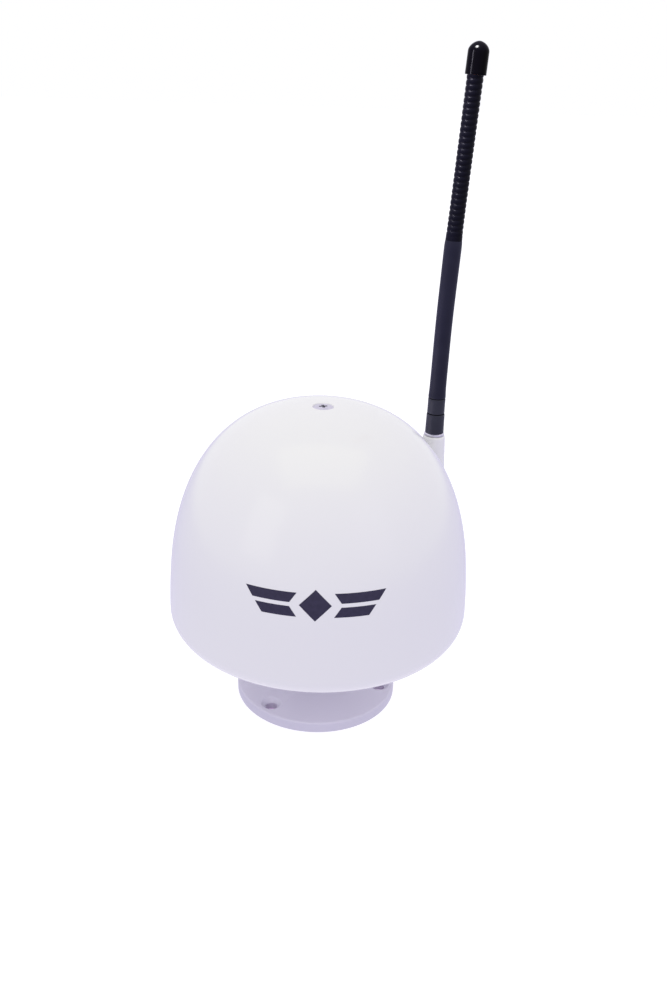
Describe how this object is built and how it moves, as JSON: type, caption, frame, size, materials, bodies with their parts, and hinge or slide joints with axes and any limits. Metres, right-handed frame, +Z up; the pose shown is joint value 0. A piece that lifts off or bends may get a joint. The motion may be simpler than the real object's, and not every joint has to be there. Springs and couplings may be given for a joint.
{
  "type": "marine antenna dome",
  "caption": "Fixed bell-shaped marine antenna dome on a round deck flange, with crossed dipoles and an amplifier inside and a flexible whip aerial at its side.",
  "frame": {"origin": "centre of the deck flange underside", "axes": "+Z up along the dome axis, -Y towards the front, the whip socket at the back on the +X side"},
  "size_m": [0.2, 0.2, 0.4197],
  "materials": {
    "shell_white": "polished white moulded shell",
    "deck_white": "satin white moulding",
    "inner_plastic": "plain moulded plastic",
    "stainless": "turned stainless steel",
    "brass": "plain brass",
    "nickel": "nickel plate",
    "copper": "copper",
    "aluminium": "mill finish strip",
    "tinplate": "tinned sheet",
    "seal_rubber": "dull black rubber",
    "black_fitting": "satin black moulding",
    "black_sleeve": "black shrink sleeve",
    "black_cap": "glossy black vinyl",
    "circuit_board": "solder-masked board",
    "glass_fibre": "glass-fibre rod"
  },
  "bodies": {
    "mount": {"deck_flange": "deck_white", "neck": "deck_white", "deck_seal": "seal_rubber", "cable_grommet": "seal_rubber"},
    "head": {"base_plate": "inner_plastic", "support_tower": "inner_plastic", "element_carrier": "inner_plastic", "carrier_collar": "inner_plastic", "clamp_screw_1": "stainless", "clamp_screw_2": "stainless", "clamp_screw_3": "stainless", "apex_screw": "stainless", "tower_screw_1": "stainless", "tower_screw_2": "stainless", "tower_screw_3": "stainless", "arm_screw_1": "stainless", "arm_screw_2": "stainless", "arm_screw_3": "stainless", "arm_screw_4": "stainless", "board_screw_1": "stainless", "board_screw_2": "stainless", "board_screw_3": "stainless", "board_screw_4": "stainless", "rim_seal": "seal_rubber", "apex_seal": "seal_rubber", "radome": "shell_white", "apex_insert": "brass", "whip_insert": "brass", "insert_nut": "brass", "dipole_arm_1": "aluminium", "dipole_arm_2": "aluminium", "dipole_arm_3": "aluminium", "dipole_arm_4": "aluminium", "phasing_board": "circuit_board", "amp_board": "circuit_board", "amp_can": "tinplate", "amp_lid": "tinplate", "output_socket": "nickel", "feed_line_dipole": "copper", "feed_line_whip": "copper"},
    "seat_ring": {"whip_ring": "stainless", "whip_oring": "seal_rubber"},
    "whip_foot": {"whip_stud": "stainless", "whip_ferrule": "black_fitting", "whip_collar": "black_fitting"},
    "whip_mid": {"whip_shaft": "black_sleeve", "whip_rod": "glass_fibre"},
    "whip_end": {"whip_coil_jacket": "black_sleeve", "whip_winding": "copper", "whip_rod_top": "glass_fibre", "whip_cap": "black_cap"}
  },
  "joints": [
    {"name": "head_swivel", "type": "hinge", "parent": "mount", "child": "head", "pos_m": [0, 0, 0.045], "axis": [0, 0, 1], "range_deg": [-180, 180]},
    {"name": "whip_rise", "type": "slide", "parent": "head", "child": "seat_ring", "axis": [0, 0, 1], "range_m": [0, 0.006]},
    {"name": "whip_turn", "type": "hinge", "parent": "seat_ring", "child": "whip_foot", "pos_m": [0.0769, 0.0558, 0.1727], "axis": [0, 0, 1], "range_deg": [0, 2160]},
    {"name": "foot_flex", "type": "hinge", "parent": "whip_foot", "child": "whip_mid", "pos_m": [0.0769, 0.0558, 0.1995], "axis": [0, 1, 0], "range_deg": [-35, 35], "stiffness_Nm_per_rad": 0.6},
    {"name": "coil_flex", "type": "hinge", "parent": "whip_mid", "child": "whip_end", "pos_m": [0.07947, 0.0558, 0.3047], "axis": [0, 1, 0], "range_deg": [-35, 35], "stiffness_Nm_per_rad": 0.3}
  ],
  "couplings": [
    {"joint": "whip_turn", "follows": "whip_rise", "rad_per_m": 6283.2}
  ]
}
